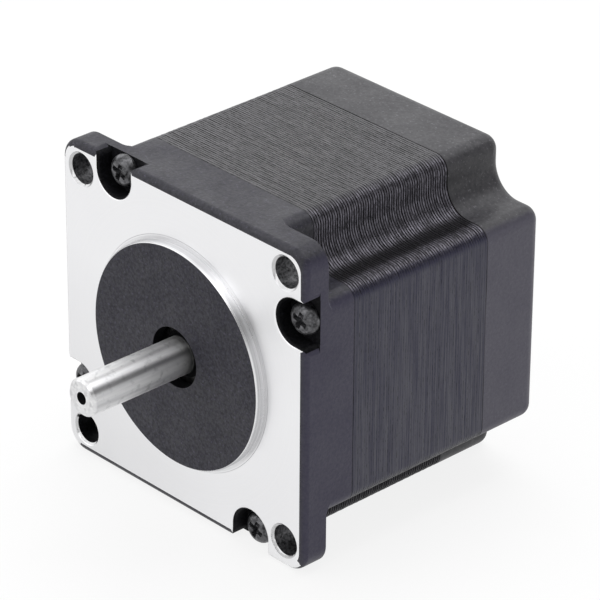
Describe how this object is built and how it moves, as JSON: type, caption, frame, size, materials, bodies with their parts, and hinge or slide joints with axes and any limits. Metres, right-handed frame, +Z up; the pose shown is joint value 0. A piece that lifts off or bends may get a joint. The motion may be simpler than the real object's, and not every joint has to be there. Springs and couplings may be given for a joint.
{
  "type": "stepper motor",
  "caption": "Square hybrid stepper motor: machined flange with pilot boss, notched laminated stator between black cast covers, ground steel shaft and a toothed rotor on ball bearings.",
  "frame": {"origin": "middle of the machined mounting face, on the shaft's axis", "axes": "+Z up, -Y along the output shaft towards what it drives, +X to the right seen from the front"},
  "size_m": [0.0564, 0.0716, 0.0564],
  "materials": {
    "cover_paint": "die casting in matt black paint, its mounting face turned bright",
    "laminated_steel": "punched silicon steel sheets, their edges in a thin dark paint",
    "ground_steel": "ground bright",
    "rotor_steel": "punched silicon steel sheets, ground on the outside",
    "bearing_steel": "polished bearing steel",
    "pressed_steel": "pressed sheet",
    "magnet": "dull nickel plate",
    "copper_winding": "enamelled copper wire",
    "insulator_plastic": "moulded, ivory",
    "black_screw": "black oxide",
    "board": "glass-fibre board in green lacquer",
    "header_plastic": "moulded, ivory",
    "tinned_pin": "tinned brass"
  },
  "bodies": {
    "housing": {"front_cover": "cover_paint", "stator_stack": "laminated_steel", "rear_cover": "cover_paint", "front_insulator": "insulator_plastic", "rear_insulator": "insulator_plastic", "coil_1": "copper_winding", "coil_2": "copper_winding", "coil_3": "copper_winding", "coil_4": "copper_winding", "coil_5": "copper_winding", "coil_6": "copper_winding", "coil_7": "copper_winding", "coil_8": "copper_winding", "front_bearing_outer_ring": "bearing_steel", "front_bearing_shields": "pressed_steel", "rear_bearing_outer_ring": "bearing_steel", "rear_bearing_shields": "pressed_steel", "wave_washer": "pressed_steel", "assembly_screws": "black_screw", "terminal_board": "board", "header_shell": "header_plastic", "header_pins": "tinned_pin"},
    "rotor": {"shaft": "ground_steel", "front_rotor_cup": "rotor_steel", "rotor_magnet": "magnet", "rear_rotor_cup": "rotor_steel", "front_bearing_inner_ring": "bearing_steel", "rear_bearing_inner_ring": "bearing_steel"},
    "front_ball_set": {"front_bearing_balls": "bearing_steel", "front_bearing_cage": "pressed_steel"},
    "rear_ball_set": {"rear_bearing_balls": "bearing_steel", "rear_bearing_cage": "pressed_steel"}
  },
  "joints": [
    {"name": "rotor_spin", "type": "hinge", "parent": "housing", "child": "rotor", "pos_m": [0, 0, 0], "axis": [0, -1, 0], "continuous": true},
    {"name": "front_balls_spin", "type": "hinge", "parent": "housing", "child": "front_ball_set", "pos_m": [0, 0.0044, 0], "axis": [0, -1, 0], "continuous": true},
    {"name": "rear_balls_spin", "type": "hinge", "parent": "housing", "child": "rear_ball_set", "pos_m": [0, 0.0443, 0], "axis": [0, -1, 0], "continuous": true}
  ],
  "couplings": [
    {"joint": "front_balls_spin", "follows": "rotor_spin", "ratio": 0.37},
    {"joint": "rear_balls_spin", "follows": "rotor_spin", "ratio": 0.37}
  ]
}
